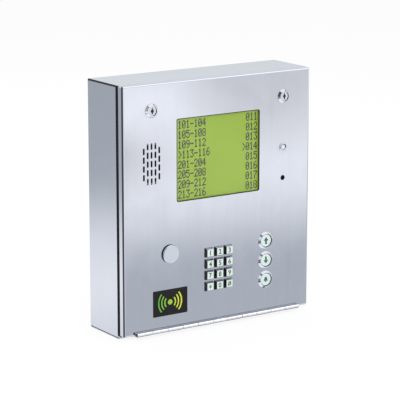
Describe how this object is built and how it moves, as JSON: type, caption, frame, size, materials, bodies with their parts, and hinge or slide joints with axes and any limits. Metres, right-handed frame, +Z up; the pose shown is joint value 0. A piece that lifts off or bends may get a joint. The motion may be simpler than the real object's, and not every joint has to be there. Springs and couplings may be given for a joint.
{
  "type": "telephone entry system",
  "caption": "Wall-mounted steel entry panel with a drop-down door, text display, keypad, call buttons, speaker, card reader window and cam locks.",
  "frame": {"origin": "middle of the cabinet's back face, on the wall", "axes": "+X right seen from the front, +Y into the wall, +Z up; the door faces -Y"},
  "size_m": [0.343, 0.1047, 0.388],
  "materials": {
    "stainless_sheet": "satin, fine vertical grain",
    "hinge_steel": "satin",
    "chromed_metal": "polished",
    "lock_core_metal": "polished with wear round the keyway",
    "zinc_plated_steel": "zinc plated",
    "magnet_steel": "dull ferrite",
    "seal_rubber": "matt",
    "keypad_silicone": "matt",
    "black_plastic": "matt moulded",
    "terminal_plastic": "moulded",
    "battery_case": "moulded",
    "circuit_board": "lacquered",
    "clear_window": "polished",
    "lcd_cell": "satin, lit from behind",
    "backlight_acrylic": "frosted",
    "speaker_paper": "pressed fibre",
    "microphone_can": "drawn",
    "reader_plastic": "polished",
    "indicator_plastic": "polished dome",
    "key_metal": "satin metal, bevelled",
    "button_metal": "satin metal",
    "legend_ink": "filled engraving",
    "lcd_dots": "dark segments"
  },
  "bodies": {
    "cabinet": {"box_wrap": "stainless_sheet", "left_side_panel": "stainless_sheet", "right_side_panel": "stainless_sheet", "gasket_frame": "stainless_sheet", "door_gasket": "seal_rubber", "box_hinge_leaf": "hinge_steel", "hinge_pin": "hinge_steel", "main_board": "circuit_board", "board_fixings": "zinc_plated_steel", "terminal_blocks": "terminal_plastic", "relays": "black_plastic", "microchips": "black_plastic", "backup_battery": "battery_case", "battery_bracket": "zinc_plated_steel", "cable_bushing": "seal_rubber"},
    "door": {"door_panel": "stainless_sheet", "door_hinge_leaf": "hinge_steel", "speaker_basket": "zinc_plated_steel", "speaker_cone": "speaker_paper", "speaker_magnet": "magnet_steel", "display_window": "clear_window", "display_bezel": "black_plastic", "display_glass": "lcd_cell", "display_backlight": "backlight_acrylic", "display_board": "circuit_board", "keypad_housing": "black_plastic", "keypad_dome_mat": "keypad_silicone", "keypad_board": "circuit_board", "door_nuts": "zinc_plated_steel", "button_bezels": "chromed_metal", "panel_nuts": "zinc_plated_steel", "button_switches": "black_plastic", "microphone_boot": "seal_rubber", "microphone_capsule": "microphone_can", "indicator_bezel": "chromed_metal", "indicator_lens": "indicator_plastic", "blanking_plug": "chromed_metal", "reader_window": "reader_plastic", "reader_module": "black_plastic", "left_lock_body": "chromed_metal", "right_lock_body": "chromed_metal"},
    "left_lock": {"left_lock_core": "lock_core_metal", "left_lock_cam": "zinc_plated_steel"},
    "right_lock": {"right_lock_core": "lock_core_metal", "right_lock_cam": "zinc_plated_steel"},
    "key_1": {"key_1": "key_metal"},
    "key_2": {"key_2": "key_metal"},
    "key_3": {"key_3": "key_metal"},
    "key_4": {"key_4": "key_metal"},
    "key_5": {"key_5": "key_metal"},
    "key_6": {"key_6": "key_metal"},
    "key_7": {"key_7": "key_metal"},
    "key_8": {"key_8": "key_metal"},
    "key_9": {"key_9": "key_metal"},
    "key_star": {"key_star": "key_metal"},
    "key_0": {"key_0": "key_metal"},
    "key_hash": {"key_hash": "key_metal"},
    "up_button": {"up_button": "button_metal"},
    "down_button": {"down_button": "button_metal"},
    "call_button": {"call_button": "button_metal"}
  },
  "joints": [
    {"name": "door_hinge", "type": "hinge", "parent": "cabinet", "child": "door", "pos_m": [0, -0.1015, -0.1864], "axis": [1, 0, 0], "range_deg": [0, 180]},
    {"name": "left_lock_turn", "type": "hinge", "parent": "door", "child": "left_lock", "pos_m": [-0.12075, -0.09, 0.1533], "axis": [0, -1, 0], "range_deg": [0, 90]},
    {"name": "right_lock_turn", "type": "hinge", "parent": "door", "child": "right_lock", "pos_m": [0.12075, -0.09, 0.1533], "axis": [0, 1, 0], "range_deg": [0, 90]},
    {"name": "key_1_press", "type": "slide", "parent": "door", "child": "key_1", "axis": [0, 1, 0], "range_m": [0, 0.001], "stiffness_N_per_m": 700, "springref_m": -0.001},
    {"name": "key_2_press", "type": "slide", "parent": "door", "child": "key_2", "axis": [0, 1, 0], "range_m": [0, 0.001], "stiffness_N_per_m": 700, "springref_m": -0.001},
    {"name": "key_3_press", "type": "slide", "parent": "door", "child": "key_3", "axis": [0, 1, 0], "range_m": [0, 0.001], "stiffness_N_per_m": 700, "springref_m": -0.001},
    {"name": "key_4_press", "type": "slide", "parent": "door", "child": "key_4", "axis": [0, 1, 0], "range_m": [0, 0.001], "stiffness_N_per_m": 700, "springref_m": -0.001},
    {"name": "key_5_press", "type": "slide", "parent": "door", "child": "key_5", "axis": [0, 1, 0], "range_m": [0, 0.001], "stiffness_N_per_m": 700, "springref_m": -0.001},
    {"name": "key_6_press", "type": "slide", "parent": "door", "child": "key_6", "axis": [0, 1, 0], "range_m": [0, 0.001], "stiffness_N_per_m": 700, "springref_m": -0.001},
    {"name": "key_7_press", "type": "slide", "parent": "door", "child": "key_7", "axis": [0, 1, 0], "range_m": [0, 0.001], "stiffness_N_per_m": 700, "springref_m": -0.001},
    {"name": "key_8_press", "type": "slide", "parent": "door", "child": "key_8", "axis": [0, 1, 0], "range_m": [0, 0.001], "stiffness_N_per_m": 700, "springref_m": -0.001},
    {"name": "key_9_press", "type": "slide", "parent": "door", "child": "key_9", "axis": [0, 1, 0], "range_m": [0, 0.001], "stiffness_N_per_m": 700, "springref_m": -0.001},
    {"name": "key_star_press", "type": "slide", "parent": "door", "child": "key_star", "axis": [0, 1, 0], "range_m": [0, 0.001], "stiffness_N_per_m": 700, "springref_m": -0.001},
    {"name": "key_0_press", "type": "slide", "parent": "door", "child": "key_0", "axis": [0, 1, 0], "range_m": [0, 0.001], "stiffness_N_per_m": 700, "springref_m": -0.001},
    {"name": "key_hash_press", "type": "slide", "parent": "door", "child": "key_hash", "axis": [0, 1, 0], "range_m": [0, 0.001], "stiffness_N_per_m": 700, "springref_m": -0.001},
    {"name": "up_press", "type": "slide", "parent": "door", "child": "up_button", "axis": [0, 1, 0], "range_m": [0, 0.0015], "stiffness_N_per_m": 600, "springref_m": -0.0015},
    {"name": "down_press", "type": "slide", "parent": "door", "child": "down_button", "axis": [0, 1, 0], "range_m": [0, 0.0015], "stiffness_N_per_m": 600, "springref_m": -0.0015},
    {"name": "call_press", "type": "slide", "parent": "door", "child": "call_button", "axis": [0, 1, 0], "range_m": [0, 0.0015], "stiffness_N_per_m": 600, "springref_m": -0.0015}
  ]
}
